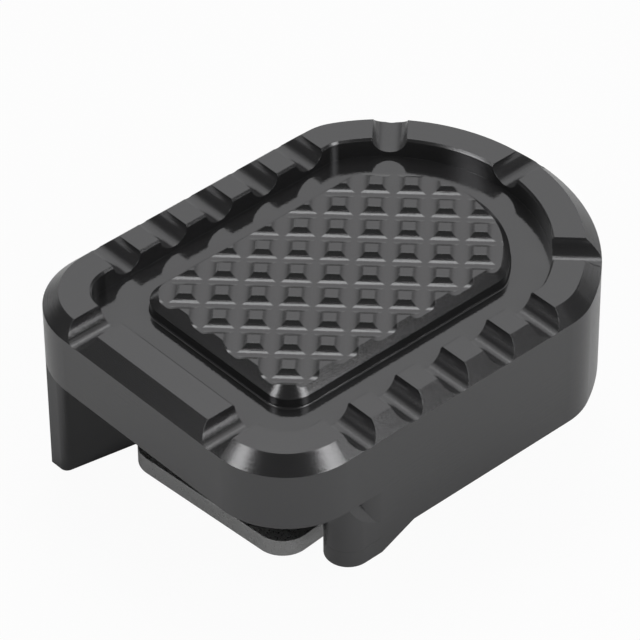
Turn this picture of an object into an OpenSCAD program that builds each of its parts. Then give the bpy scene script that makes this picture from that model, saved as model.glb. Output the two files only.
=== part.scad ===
// Brake pedal extension: a machined pad with a gripping tread, clamped onto a pedal from below.
// +X runs from the flat end to the round end and +Z points up, out of the tread.
// The origin lies on the pedal seat, on the pad's centre line, level with the clamp screws.

/* [Body] */
// Length over the flat end and the round end
body_l = 66.2; // [60:0.1:80]
// Width over the two straight sides
body_w = 50; // [46:0.5:60]
// Height of the rim's top above the pedal seat
body_h = 10.1; // [9:0.1:16]
// Corner radius at the flat end
corner_r = 10.5; // [8:0.5:14]
// Radius between a straight side and the round end
shoulder_r = 9; // [8:0.5:12]
// How much larger the round end's radius is than half the width
end_flat = 2; // [0.5:0.5:6]
// Chamfer round the rim's outer edge
edge_c = 2; // [1:0.1:2.4]
// Flat width of the rim's top
rim_w = 4.1; // [3:0.1:5]
// Depth of the recess inside the rim
recess_d = 2.8; // [2.4:0.1:4]
// Edge break round the recess
inner_c = 0.3; // [0.2:0.1:0.6]
// Distance from the flat end to the clamp screws
seat_x = 21; // [18:0.5:26]

/* [Rim grooves] */
// Radius of a groove's round bottom
groove_r = 2.2; // [1.8:0.1:3]
// Depth of a groove below the rim's top
groove_d = 2.1; // [1.2:0.1:2.2]
// Grooves across each straight side
side_grooves = 5; // [2:1:5]
// Spacing of the side grooves
side_pitch = 7.5; // [6:0.1:8]
// Distance from the flat end to the first side groove
side_first = 14.1; // [12:0.1:16]
// Spacing of the two grooves at the flat end
front_pitch = 24.7; // [16:0.1:26]
// Angle between the three grooves at the round end
fan_angle = 45; // [35:1:48]

/* [Tread] */
// Floor left bare between the rim and the tread
tread_gap = 5.2; // [4:0.1:7]
// Height of the tread above the recess floor
tread_h = 2.6; // [2.2:0.1:4]
// Chamfer round the tread's top
tread_c = 1.3; // [0.6:0.1:1.6]
// Corner radius of the tread
tread_r = 3.6; // [2:0.1:5]
// Spacing of the crossed channels
channel_pitch = 4.45; // [3.8:0.05:6]
// Radius of a channel's round bottom
channel_r = 1.66; // [1.2:0.02:2]
// Depth of a channel
channel_d = 0.85; // [0.5:0.05:1]
// Distance from the flat end to a stud on the pattern's middle line
grid_x = 31.5; // [28:0.1:36]
// Sideways shift of the pattern's middle line
grid_y = 0.5; // [-1:0.1:1]

/* [Skirt and legs] */
// Thickness of the skirt round the pedal pocket
skirt_t = 6; // [5:0.5:8]
// Depth of the skirt below the pedal seat
skirt_drop = 7.7; // [5:0.1:8.5]
// Distance from the flat end to the short leg's nose
short_leg_x = 10.4; // [9:0.1:13]
// Depth of the short leg below the pedal seat
short_leg_drop = 9.9; // [9:0.1:14]
// Length of the short leg's foot
foot_l = 5.8; // [4:0.1:8]
// Height of the short leg's foot
foot_h = 2.4; // [1:0.1:2.6]
// Run of the slope from a leg's foot up to the skirt
slope_l = 5.2; // [3:0.1:8]
// How far the stem above the foot is set back
stem_back = 2.6; // [1:0.1:2.8]
// Distance from the flat end to the long leg's nose
long_leg_x = 2; // [1:0.1:4]
// Depth of the long leg below the pedal seat
long_leg_drop = 17.1; // [14:0.1:20]
// Length of the long leg's inner face
long_leg_l = 11; // [8:0.5:14]
// Distance from the centre line to the long leg's inner face, at its nose
long_leg_y = 18; // [17:0.1:19]
// Taper of the long leg's inner face
long_leg_taper = 11; // [0:1:14]
// Edge radius of the long leg's nose
nose_r = 1; // [0.5:0.1:1.4]

/* [Clamp] */
// Width of the clamp plate
plate_w = 27.3; // [26:0.1:30]
// Length of the clamp plate
plate_l = 30; // [20:0.5:32]
// Thickness of the clamp plate
plate_t = 2.4; // [2:0.1:4]
// Corner radius of the clamp plate
plate_r = 3.7; // [2:0.1:6]
// Turn of the clamp plate on its slots
plate_turn = 3.8; // [0:0.2:4]
// Gap that takes the pedal, between the seat and the plate
pedal_gap = 8.9; // [6:0.1:9.5]
// Sideways place of the clamp's middle
clamp_y = -2.9; // [-4:0.1:-2]
// Distance from the clamp plate's edge to a clamp screw
screw_edge = 5.2; // [5:0.1:6]
// Diameter of a clamp screw's thread
screw_d = 5; // [4:0.5:5]
// Depth to which a screw engages in the body
screw_grip = 5.6; // [4:0.1:6]
// Diameter of a screw's head
head_d = 9.5; // [8:0.1:9.8]
// Height of a screw's head
head_h = 2.8; // [2.5:0.1:4]
// Size of a screw's hexagon socket across its flats
hex_af = 3; // [2.5:0.5:4]
// Diameter of a washer
washer_d = 10; // [9.8:0.1:11]
// Thickness of a washer
washer_t = 1; // [0.8:0.1:2]
// Length of a slot in the clamp plate
slot_l = 8; // [7.4:0.1:9]

/* [Hidden] */
$fn = 64;
eps = 0.01;
black = "#2b2b2d";
steel = "#9a9a98";

// Room round a screw's thread in the body, in a washer and in a slot
thread_gap = 0.05;
washer_gap = 0.2;
slot_gap = 0.3;
// Room past a screw's tip, in its hole
tip_gap = 1;
// Width of the bevel at the mouth of a screw's hole
hole_c = 0.4;
// Share of a screw's head that its socket takes
socket_share = 0.6;

x_front = -seat_x;
half_w = body_w / 2;
end_r = half_w + end_flat;
z_floor = body_h - recess_d;
z_tread = z_floor + tread_h;
// Centre of the round end
x_end = x_front + body_l - end_r;
// Distance from the pad's outline to the recess's wall and to the tread
rim_in = edge_c + rim_w;
tread_in = rim_in + tread_gap;
z_plate = -pedal_gap - plate_t;
z_head = z_plate - washer_t;
// Where the skirt starts, at the end of the short leg's foot
x_skirt = x_front + short_leg_x + foot_l;
// Distance from the clamp's middle to each clamp screw
screw_out = plate_w / 2 - screw_edge;
screw_ys = [clamp_y - screw_out, clamp_y + screw_out];

// A round post whose top edge is cut in by c, or flared out where c is negative
module post(r, h, c) {
    rotate_extrude()
        polygon([[0, 0], [r, 0], [r, h - abs(c)], [r - c, h], [0, h]]);
}

// A bar along Y whose two long ends have the same edge as a post
module bar_y(l, w, h, c) {
    translate([-l / 2, 0, 0])
        rotate([90, 0, 90])
            linear_extrude(l)
                polygon([[-w / 2, 0], [w / 2, 0], [w / 2, h - abs(c)], [w / 2 - c, h], [c - w / 2, h],
                         [-w / 2, h - abs(c)]]);
}

// A D-shaped block inside the pad's outline: flat end, two corners, two shoulders and a round end.
// inset is its distance from the outline, r_c and r_s are its own corner and shoulder radii.
module d_block(inset, r_c, r_s, h, c) {
    half = half_w - inset;
    r_e = end_r - inset;
    x0 = x_front + inset;
    x_s = x_end + sqrt(pow(r_e - r_s, 2) - pow(half - r_s, 2));
    phi = atan2(half - r_s, x_s - x_end);
    for (side = [-1, 1]) {
        translate([x0 + r_c, side * (half - r_c), 0])
            post(r_c, h, c);
        translate([x_s, side * (half - r_s), 0])
            post(r_s, h, c);
    }
    // The straight sides
    translate([(x0 + r_c + x_s) / 2, 0, 0])
        bar_y(x_s - x0 - r_c, 2 * half, h, c);
    // The flat end
    translate([x0 + r_c, 0, 0])
        rotate([0, 0, 90])
            bar_y(2 * (half - r_c), 2 * r_c, h, c);
    // The round end, between the two shoulders
    translate([x_end, 0, 0])
        intersection() {
            post(r_e, h, c);
            translate([0, 0, -1])
                linear_extrude(h + 2)
                    polygon([[0, 0], [2 * r_e * cos(phi), -2 * r_e * sin(phi)], [3 * r_e, 0],
                             [2 * r_e * cos(phi), 2 * r_e * sin(phi)]]);
        }
}

// Turns its children about the centre of the round end
module about_end(a) {
    translate([x_end, 0, 0])
        rotate([0, 0, a])
            translate([-x_end, 0, 0])
                children();
}

// Round-bottomed grooves: straight ones over both sides and the flat end, fanned ones at the round end
module rim_grooves() {
    z_axis = body_h - groove_d + groove_r;
    reach = rim_in + 1;
    for (i = [0 : side_grooves - 1], side = [-1, 1])
        translate([x_front + side_first + i * side_pitch, side * (half_w - rim_in - 1), z_axis])
            rotate([-side * 90, 0, 0])
                cylinder(r = groove_r, h = reach + 1);
    for (side = [-1, 1])
        translate([x_front - 1, side * front_pitch / 2, z_axis])
            rotate([0, 90, 0])
                cylinder(r = groove_r, h = reach + 1);
    for (turn = [-1, 0, 1])
        about_end(turn * fan_angle)
            translate([x_end + end_r - reach, 0, z_axis])
                rotate([0, 90, 0])
                    cylinder(r = groove_r, h = reach + 1);
}

// The tread: a D-shaped table cut into flat-topped studs by two sets of crossed channels
module tread() {
    z_axis = z_tread - channel_d + channel_r;
    reach = body_l / 2;
    rows = ceil(reach / channel_pitch);
    difference() {
        translate([0, 0, z_floor - 1])
            d_block(tread_in, tread_r, tread_r, tread_h + 1, tread_c);
        for (turn = [-45, 45], i = [-rows : rows - 1])
            translate([x_front + grid_x, grid_y, z_axis])
                rotate([0, 0, turn])
                    translate([-reach, (i + 0.5) * channel_pitch, 0])
                        rotate([0, 90, 0])
                            cylinder(r = channel_r, h = 2 * reach);
    }
}

// The skirt: a wall under the two sides and the round end, open at the flat end for the pedal
module skirt() {
    half_in = half_w - skirt_t;
    difference() {
        translate([0, 0, -skirt_drop])
            d_block(0, corner_r, shoulder_r, skirt_drop + eps, 0);
        translate([0, 0, -skirt_drop - 1])
            d_block(skirt_t, corner_r - skirt_t, shoulder_r - skirt_t, skirt_drop + 1 + 2 * eps, 0);
        translate([x_front - 1, -half_w - 1, -skirt_drop - 1])
            cube([1 + x_skirt - x_front, 2 * half_w + 2, skirt_drop + 1 + 2 * eps]);
    }
}

// A stretch of the wall under the right side, with a fully rounded nose at x0
module nosed_wall(x0, x1, z0, z1) {
    translate([x0 + skirt_t / 2, skirt_t / 2 - half_w, z0])
        cylinder(d = skirt_t, h = z1 - z0);
    translate([x0 + skirt_t / 2, -half_w, z0])
        cube([x1 - x0 - skirt_t / 2, skirt_t, z1 - z0]);
}

// The short leg: a stem with a foot that steps forward and slopes up to the skirt
module short_leg() {
    x0 = x_front + short_leg_x;
    nosed_wall(x0 + stem_back, x_skirt + eps, foot_h - short_leg_drop - eps, eps);
    nosed_wall(x0, x0 + foot_l, -short_leg_drop, foot_h - short_leg_drop);
    translate([0, skirt_t - half_w, 0])
        rotate([90, 0, 0])
            linear_extrude(skirt_t)
                polygon([[x0 + foot_l - eps, -short_leg_drop], [x0 + foot_l, -short_leg_drop],
                         [x0 + foot_l + slope_l, -skirt_drop], [x0 + foot_l + slope_l, eps],
                         [x0 + foot_l - eps, eps]]);
}

// The long leg: flush with the pad's corner outside, with a tapered inner face that guides the pedal
module long_leg() {
    x0 = x_front + long_leg_x;
    x1 = x0 + long_leg_l;
    x2 = x1 + long_leg_drop - skirt_drop;
    y1 = long_leg_y - long_leg_l * tan(long_leg_taper);
    cy = long_leg_y - nose_r * tan(long_leg_taper) + nose_r / cos(long_leg_taper);
    intersection() {
        translate([0, 0, -long_leg_drop])
            d_block(0, corner_r, shoulder_r, long_leg_drop + eps, 0);
        translate([0, 0, -long_leg_drop])
            linear_extrude(long_leg_drop + eps) {
                translate([x0 + nose_r, cy])
                    circle(nose_r);
                polygon([[x0, half_w], [x0, cy], [x0 + nose_r, cy],
                         [x0 + nose_r - nose_r * sin(long_leg_taper), cy - nose_r * cos(long_leg_taper)],
                         [x1, y1], [x1 + half_w - skirt_t - y1, half_w - skirt_t],
                         [x2, half_w - skirt_t], [x2, half_w]]);
            }
        rotate([90, 0, 0])
            translate([0, 0, -body_w])
                linear_extrude(body_w)
                    polygon([[x0 - 1, -long_leg_drop - 1], [x1 - 1, -long_leg_drop - 1],
                             [x2, -skirt_drop], [x2, 1], [x0 - 1, 1]]);
    }
}

// Tapped holes for the clamp screws, blind, in the pedal seat
module screw_holes() {
    for (y = screw_ys)
        translate([0, y, 0]) {
            translate([0, 0, -eps])
                cylinder(d = screw_d + 2 * thread_gap, h = screw_grip + tip_gap + eps);
            translate([0, 0, -eps])
                cylinder(d1 = screw_d + 2 * thread_gap + 2 * hole_c + 2 * eps, d2 = screw_d + 2 * thread_gap,
                         h = hole_c + eps);
        }
}

module body() {
    color(black) {
        difference() {
            union() {
                difference() {
                    d_block(0, corner_r, shoulder_r, body_h, edge_c);
                    translate([0, 0, z_floor])
                        d_block(rim_in, corner_r - rim_in, shoulder_r - rim_in, recess_d + eps,
                                -inner_c - eps);
                    rim_grooves();
                }
                tread();
                skirt();
                short_leg();
                long_leg();
            }
            screw_holes();
        }
    }
}

// A flat plate with rounded corners and two slots, turned a little about the clamp's middle
module clamp_plate() {
    color(steel)
        translate([0, clamp_y, z_plate])
            rotate([0, 0, plate_turn])
                difference() {
                    union() {
                        translate([-plate_l / 2, plate_r - plate_w / 2, 0])
                            cube([plate_l, plate_w - 2 * plate_r, plate_t]);
                        translate([plate_r - plate_l / 2, -plate_w / 2, 0])
                            cube([plate_l - 2 * plate_r, plate_w, plate_t]);
                        for (sx = [-1, 1], sy = [-1, 1])
                            translate([sx * (plate_l / 2 - plate_r), sy * (plate_w / 2 - plate_r), 0])
                                cylinder(r = plate_r, h = plate_t);
                    }
                    for (side = [-1, 1])
                        translate([0, side * screw_out, -1])
                            slot(slot_l, screw_d + 2 * slot_gap, plate_t + 2);
                }
}

// A slot with round ends, along X
module slot(l, w, h) {
    for (side = [-1, 1])
        translate([side * (l - w) / 2, 0, 0])
            cylinder(d = w, h = h);
    translate([(w - l) / 2, -w / 2, 0])
        cube([l - w, w, h]);
}

// A button-head screw with a hexagon socket, standing on its head
module screw() {
    dome_r = (pow(head_d / 2, 2) + pow(head_h, 2)) / (2 * head_h);
    difference() {
        union() {
            translate([0, 0, -head_h])
                intersection() {
                    cylinder(d = head_d, h = head_h);
                    translate([0, 0, dome_r])
                        sphere(dome_r);
                }
            translate([0, 0, -eps])
                cylinder(d = screw_d, h = screw_grip - z_head + eps);
        }
        translate([0, 0, -head_h - 1])
            cylinder(d = hex_af / cos(30), h = 1 + head_h * socket_share, $fn = 6);
    }
}

module clamp_screws() {
    color(black)
        for (y = screw_ys)
            translate([0, y, z_head])
                screw();
}

module washers() {
    color(steel)
        for (y = screw_ys)
            translate([0, y, z_head])
                difference() {
                    cylinder(d = washer_d, h = washer_t);
                    translate([0, 0, -1])
                        cylinder(d = screw_d + 2 * washer_gap, h = washer_t + 2);
                }
}

body();
clamp_plate();
clamp_screws();
washers();
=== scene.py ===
# A clamp-on brake pedal extension on a pale studio floor, seen from above its near corner.
import math

import bpy
from mathutils import Euler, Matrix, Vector


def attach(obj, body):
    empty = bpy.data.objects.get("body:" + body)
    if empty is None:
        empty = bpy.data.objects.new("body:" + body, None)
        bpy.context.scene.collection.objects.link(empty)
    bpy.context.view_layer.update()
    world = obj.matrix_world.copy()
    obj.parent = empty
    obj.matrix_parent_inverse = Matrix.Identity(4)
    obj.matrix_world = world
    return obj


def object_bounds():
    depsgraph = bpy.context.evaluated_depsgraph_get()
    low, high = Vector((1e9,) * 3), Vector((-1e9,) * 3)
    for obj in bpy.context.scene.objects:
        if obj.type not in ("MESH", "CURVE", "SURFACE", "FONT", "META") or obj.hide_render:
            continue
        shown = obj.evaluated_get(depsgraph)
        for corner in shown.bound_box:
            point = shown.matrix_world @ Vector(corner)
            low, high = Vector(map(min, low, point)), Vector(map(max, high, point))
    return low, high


# The frame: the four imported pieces, the pad milled from one billet and the clamp under it.
# Everything else in this file is their finish and the studio round them.
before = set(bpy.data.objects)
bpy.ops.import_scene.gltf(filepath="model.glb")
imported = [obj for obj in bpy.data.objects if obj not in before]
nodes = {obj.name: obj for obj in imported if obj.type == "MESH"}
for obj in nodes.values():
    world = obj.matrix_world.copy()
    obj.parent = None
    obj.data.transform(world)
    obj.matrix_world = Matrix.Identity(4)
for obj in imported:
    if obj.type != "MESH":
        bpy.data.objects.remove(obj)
cad_low, cad_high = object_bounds()

# The camera: a long lens well back from the part, above its near corner and a little rolled,
# as the photograph was taken.
camera = bpy.data.objects.new("camera", bpy.data.cameras.new("camera"))
bpy.context.scene.collection.objects.link(camera)
camera.location = (-0.26692, -0.30858, 0.35404)
aim = Vector((0.507155, 0.569706, -0.646706))
camera.rotation_mode = "QUATERNION"
camera.rotation_quaternion = aim.to_track_quat("-Z", "Y") @ Euler((0, 0, math.radians(-0.524))).to_quaternion()
camera.data.lens = 248.4
camera.data.sensor_width = 36
camera.data.clip_start = 0.01
bpy.context.scene.camera = camera


# The anodised finish of the pad: a black oxide skin on milled aluminium, satin all over.
# The recess floor is cut with a finishing pass and shines like a dark mirror.
def look(name):
    material = bpy.data.materials.new(name)
    material.use_nodes = True
    shader = material.node_tree.nodes["Principled BSDF"]
    return material, material.node_tree.nodes.new, material.node_tree.links.new, shader


def dress(piece, material):
    piece.data.materials.clear()
    piece.data.materials.append(material)


anodised, node, link, shader = look("black_anodised")
shader.inputs["Base Color"].default_value = (0.107, 0.107, 0.109, 1)
shader.inputs["Metallic"].default_value = 0.76
place = node("ShaderNodeTexCoord")
height = node("ShaderNodeSeparateXYZ")
link(place.outputs["Object"], height.inputs[0])
floor_mask = node("ShaderNodeMath")
floor_mask.operation = "COMPARE"
link(height.outputs["Z"], floor_mask.inputs[0])
floor_mask.inputs[1].default_value = 0.0073
floor_mask.inputs[2].default_value = 0.00004
rough = node("ShaderNodeMapRange")
link(floor_mask.outputs[0], rough.inputs["Value"])
rough.inputs["To Min"].default_value = 0.22
rough.inputs["To Max"].default_value = 0.1
link(rough.outputs["Result"], shader.inputs["Roughness"])
soft_edges = node("ShaderNodeBevel")
soft_edges.samples = 6
soft_edges.inputs["Radius"].default_value = 0.00008
marks = node("ShaderNodeVectorMath")
marks.operation = "MULTIPLY"
link(place.outputs["Object"], marks.inputs[0])
marks.inputs[1].default_value = (260, 260, 9000)
lines = node("ShaderNodeTexNoise")
lines.inputs["Scale"].default_value = 1
lines.inputs["Detail"].default_value = 3
link(marks.outputs["Vector"], lines.inputs["Vector"])
brushed = node("ShaderNodeBump")
brushed.inputs["Strength"].default_value = 1
brushed.inputs["Distance"].default_value = 0.00002
link(lines.outputs[0], brushed.inputs["Height"])
link(soft_edges.outputs["Normal"], brushed.inputs["Normal"])
grain = node("ShaderNodeTexNoise")
grain.inputs["Scale"].default_value = 3200
grain.inputs["Detail"].default_value = 2
link(place.outputs["Object"], grain.inputs["Vector"])
mottled = node("ShaderNodeBump")
mottled.inputs["Strength"].default_value = 1
mottled.inputs["Distance"].default_value = 0.000008
link(grain.outputs[0], mottled.inputs["Height"])
link(brushed.outputs["Normal"], mottled.inputs["Normal"])
link(mottled.outputs["Normal"], shader.inputs["Normal"])
dress(nodes["body"], anodised)


# Blocks with the pad's D outline, drawn point by point as a turning outline: flat end, two corners,
# two shoulders and a round end. All lengths are in millimetres until the piece is finished.
def d_outline(inset, corner, shoulder, z):
    half, end, x0 = 25 - inset, 27 - inset, inset - 21
    x_end, y_s = 18.2, half - shoulder
    x_s = x_end + math.sqrt((end - shoulder) ** 2 - y_s ** 2)
    phi = math.atan2(y_s, x_s - x_end)
    bpy.ops.object.select_all(action="DESELECT")
    bpy.ops.mesh.primitive_plane_add(size=1)
    bpy.ops.object.mode_set(mode="EDIT")
    bpy.ops.mesh.select_mode(type="VERT")
    bpy.ops.mesh.select_all(action="SELECT")
    bpy.ops.mesh.merge(type="CENTER")
    bpy.ops.transform.translate(value=(x_end + end * math.cos(phi), -end * math.sin(phi), z))
    turns = ((x_end, 0, 2 * phi, 36), (x_s, y_s, math.pi / 2 - phi, 8), (x0 + corner, half - corner, math.pi / 2, 16),
             (x0 + corner, corner - half, math.pi / 2, 16), (x_s, -y_s, math.pi / 2 - phi, 8))
    steps = ((0, 0), (x0 + corner - x_s, 0), (0, 2 * (corner - half)), (x_s - x0 - corner, 0), (0, 0))
    for (cx, cy, angle, count), (dx, dy) in zip(turns, steps):
        bpy.ops.mesh.spin(steps=count, angle=-angle, center=(cx, cy, z), axis=(0, 0, 1))
        if dx or dy:
            bpy.ops.mesh.extrude_region_move(TRANSFORM_OT_translate={"value": (dx, dy, 0)})
    bpy.ops.mesh.select_all(action="SELECT")
    bpy.ops.mesh.remove_doubles(threshold=0.001)
    bpy.ops.mesh.edge_face_add()
    bpy.context.object.update_from_editmode()
    if bpy.context.object.data.polygons[0].normal.z < 0:
        bpy.ops.mesh.flip_normals()
    return bpy.context.object


# Steps the selected face in and up by a list of (in, up) pairs
def step(moves):
    for inward, up in moves:
        if inward:
            bpy.ops.mesh.inset(thickness=inward, depth=up)
        else:
            bpy.ops.mesh.extrude_region_move(TRANSFORM_OT_translate={"value": (0, 0, up)})


# The moves of a hollow quarter round of radius r, from level up to a wall
def quarter(r, count):
    points = [(math.sin(a) * r, r - math.cos(a) * r) for a in (math.pi / 2 * i / count for i in range(count + 1))]
    return [(b[0] - a[0], b[1] - a[1]) for a, b in zip(points, points[1:])]


def rods(places, radius, length):
    bpy.ops.object.select_all(action="DESELECT")
    made = []
    for spot, turn in places:
        bpy.ops.mesh.primitive_cylinder_add(vertices=128, radius=radius, depth=length, location=spot, rotation=turn)
        made.append(bpy.context.object)
    for rod in made:
        rod.select_set(True)
    bpy.ops.object.join()
    return bpy.context.object


def cut(piece, cutter, operation="DIFFERENCE"):
    bpy.ops.object.select_all(action="DESELECT")
    piece.select_set(True)
    bpy.context.view_layer.objects.active = piece
    tool = piece.modifiers.new("cut", "BOOLEAN")
    tool.operation, tool.solver, tool.object = operation, "EXACT", cutter
    bpy.ops.object.modifier_apply(modifier="cut")
    bpy.data.objects.remove(cutter)


def finish(piece, name, material):
    bpy.ops.object.select_all(action="DESELECT")
    piece.select_set(True)
    bpy.context.view_layer.objects.active = piece
    bpy.ops.object.mode_set(mode="EDIT")
    bpy.ops.mesh.select_all(action="SELECT")
    bpy.ops.mesh.normals_make_consistent(inside=False)
    bpy.ops.object.mode_set(mode="OBJECT")
    bpy.ops.transform.resize(value=(0.001, 0.001, 0.001), center_override=(0, 0, 0))
    bpy.ops.object.transform_apply(location=True, rotation=True, scale=True)
    bpy.ops.object.shade_smooth_by_angle(angle=math.radians(8))
    piece.name = name
    dress(piece, material)
    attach(piece, "root")


# The tread: a table cut from the same billet, chamfered all round, with two sets of crossed
# channels that leave flat-topped studs; its foot runs into the floor with a small fillet.
table = d_outline(10.98, 3.92, 3.92, 7.1)
step([(0, 0.19)] + quarter(0.3, 12) + [(0, 1.09), (1.42, 1.42)])
bpy.ops.object.mode_set(mode="OBJECT")
for turn in (-1, 1):
    a = turn * math.pi / 4
    rows = [(i + 0.5) * 4.45 for i in range(-7, 7)]
    places = [((10.35 - r * math.sin(a), 0.335 + r * math.cos(a), 11.55), (0, math.pi / 2, a)) for r in rows]
    cut(table, rods(places, 2.05, 66))
finish(table, "tread_studs", anodised)

# The short leg's front column: it stands on the foot, from the same billet, and a leaning face is
# milled off its outer side.
bpy.ops.object.select_all(action="DESELECT")
bpy.ops.mesh.primitive_cylinder_add(vertices=96, radius=2.99, depth=7.6, location=(-7.6, -22, -3.75))
column = bpy.context.object
bpy.ops.mesh.primitive_cube_add(size=1, location=(-6.1, -22, -3.75), scale=(3, 5.98, 7.6))
cut(column, bpy.context.object, "UNION")
bpy.ops.object.mode_set(mode="EDIT")
bpy.ops.mesh.select_all(action="SELECT")
bpy.ops.mesh.bisect(plane_co=(-7.6, -27.2, -7.5), plane_no=(0.292, -0.844, 0.445), use_fill=True, clear_outer=True)
bpy.ops.object.mode_set(mode="OBJECT")
finish(column, "leg_column", anodised)

# The clamp: a steel plate with its ground edge left bright, and two black screws on washers.
steel, node, link, shader = look("plate_steel")
shader.inputs["Base Color"].default_value = (0.38, 0.38, 0.38, 1)
shader.inputs["Metallic"].default_value = 1
shader.inputs["Roughness"].default_value = 0.3
place = node("ShaderNodeTexCoord")
grain = node("ShaderNodeTexNoise")
grain.inputs["Scale"].default_value = 5000
grain.inputs["Detail"].default_value = 6
link(place.outputs["Object"], grain.inputs["Vector"])
arris = node("ShaderNodeBevel")
arris.inputs["Radius"].default_value = 0.0002
worn = node("ShaderNodeMapRange")
worn.inputs["From Min"].default_value = 0.35
worn.inputs["From Max"].default_value = 0.65
worn.inputs["To Min"].default_value = 0.2
worn.inputs["To Max"].default_value = 0.6
link(grain.outputs[0], worn.inputs["Value"])
link(worn.outputs["Result"], shader.inputs["Roughness"])
ground = node("ShaderNodeBump")
ground.inputs["Strength"].default_value = 1
ground.inputs["Distance"].default_value = 0.00012
link(grain.outputs[0], ground.inputs["Height"])
link(arris.outputs["Normal"], ground.inputs["Normal"])
link(ground.outputs["Normal"], shader.inputs["Normal"])
dress(nodes["clamp_plate"], steel)
dress(nodes["washers"], steel)
screw, node, link, shader = look("screw_black")
shader.inputs["Base Color"].default_value = (0.06, 0.06, 0.06, 1)
shader.inputs["Metallic"].default_value = 1
shader.inputs["Roughness"].default_value = 0.35
dress(nodes["clamp_screws"], screw)

# The floor: a plain white sheet under the part.
bpy.ops.object.select_all(action="DESELECT")
bpy.ops.mesh.primitive_circle_add(vertices=96, radius=1.4, fill_type="NGON", location=(0, 0, cad_low.z - 0.00002))
floor = bpy.context.object
floor.name = "floor"
paper, node, link, shader = look("white_paper")
shader.inputs["Base Color"].default_value = (0.9, 0.9, 0.9, 1)
shader.inputs["Roughness"].default_value = 1
shader.inputs["Specular IOR Level"].default_value = 0
rays = node("ShaderNodeLightPath")
share = node("ShaderNodeMath")
share.operation = "MULTIPLY"
link(rays.outputs["Is Glossy Ray"], share.inputs[0])
share.inputs[1].default_value = 0.03
whole = node("ShaderNodeMath")
whole.operation = "MULTIPLY_ADD"
link(rays.outputs["Is Camera Ray"], whole.inputs[0])
whole.inputs[1].default_value = 0.95
link(share.outputs[0], whole.inputs[2])
glow = node("ShaderNodeEmission")
mix = node("ShaderNodeMixShader")
link(whole.outputs[0], mix.inputs[0])
link(shader.outputs[0], mix.inputs[1])
link(glow.outputs[0], mix.inputs[2])
link(mix.outputs[0], paper.node_tree.nodes["Material Output"].inputs["Surface"])
dress(floor, paper)

# The studio: a white sweep behind the part, dim sides, and three softboxes.
world = bpy.data.worlds.new("studio")
bpy.context.scene.world = world
world.use_nodes = True
node, link = world.node_tree.nodes.new, world.node_tree.links.new
back = world.node_tree.nodes["Background"]
back.inputs["Color"].default_value = (1, 1, 1, 1)
way = node("ShaderNodeTexCoord")
parts = node("ShaderNodeSeparateXYZ")
link(way.outputs["Generated"], parts.inputs[0])


def ramp(value, low, high, start, end):
    step = node("ShaderNodeMapRange")
    step.interpolation_type = "SMOOTHSTEP"
    link(value, step.inputs["Value"])
    for key, number in zip(("From Min", "From Max", "To Min", "To Max"), (low, high, start, end)):
        step.inputs[key].default_value = number
    return step.outputs["Result"]


band = ramp(parts.outputs["Z"], 0.065, 0.15, 0.95, 0.05)
toward = node("ShaderNodeVectorMath")
toward.operation = "DOT_PRODUCT"
link(way.outputs["Generated"], toward.inputs[0])
az, el = math.radians(42), math.radians(38)
toward.inputs[1].default_value = (math.cos(el) * math.cos(az), math.cos(el) * math.sin(az), math.sin(el))
lobe = ramp(toward.outputs["Value"], 0.55, 0.97, 0, 0.95)
level = node("ShaderNodeMath")
level.operation = "MAXIMUM"
link(band, level.inputs[0])
link(lobe, level.inputs[1])
link(level.outputs[0], back.inputs["Strength"])


def softbox(name, azimuth, elevation, distance, width, height, radiance):
    a, e = math.radians(azimuth), math.radians(elevation)
    out = Vector((math.cos(e) * math.cos(a), math.cos(e) * math.sin(a), math.sin(e)))
    lamp = bpy.data.lights.new(name, "AREA")
    lamp.shape = "RECTANGLE"
    lamp.size, lamp.size_y = width, height
    lamp.energy = radiance * math.pi * width * height
    box = bpy.data.objects.new(name, lamp)
    bpy.context.scene.collection.objects.link(box)
    box.location = out * distance
    box.rotation_euler = (-out).to_track_quat("-Z", "Y").to_euler()
    box.visible_camera = False


softbox("softbox_left", 163, 38, 0.6, 0.17, 0.3, 4.7)
softbox("softbox_right", -72, 39, 0.4, 0.13, 0.25, 4.7)
softbox("softbox_top", 48, 66, 0.6, 0.13, 0.22, 3.2)

bpy.context.scene.view_settings.view_transform = "Standard"
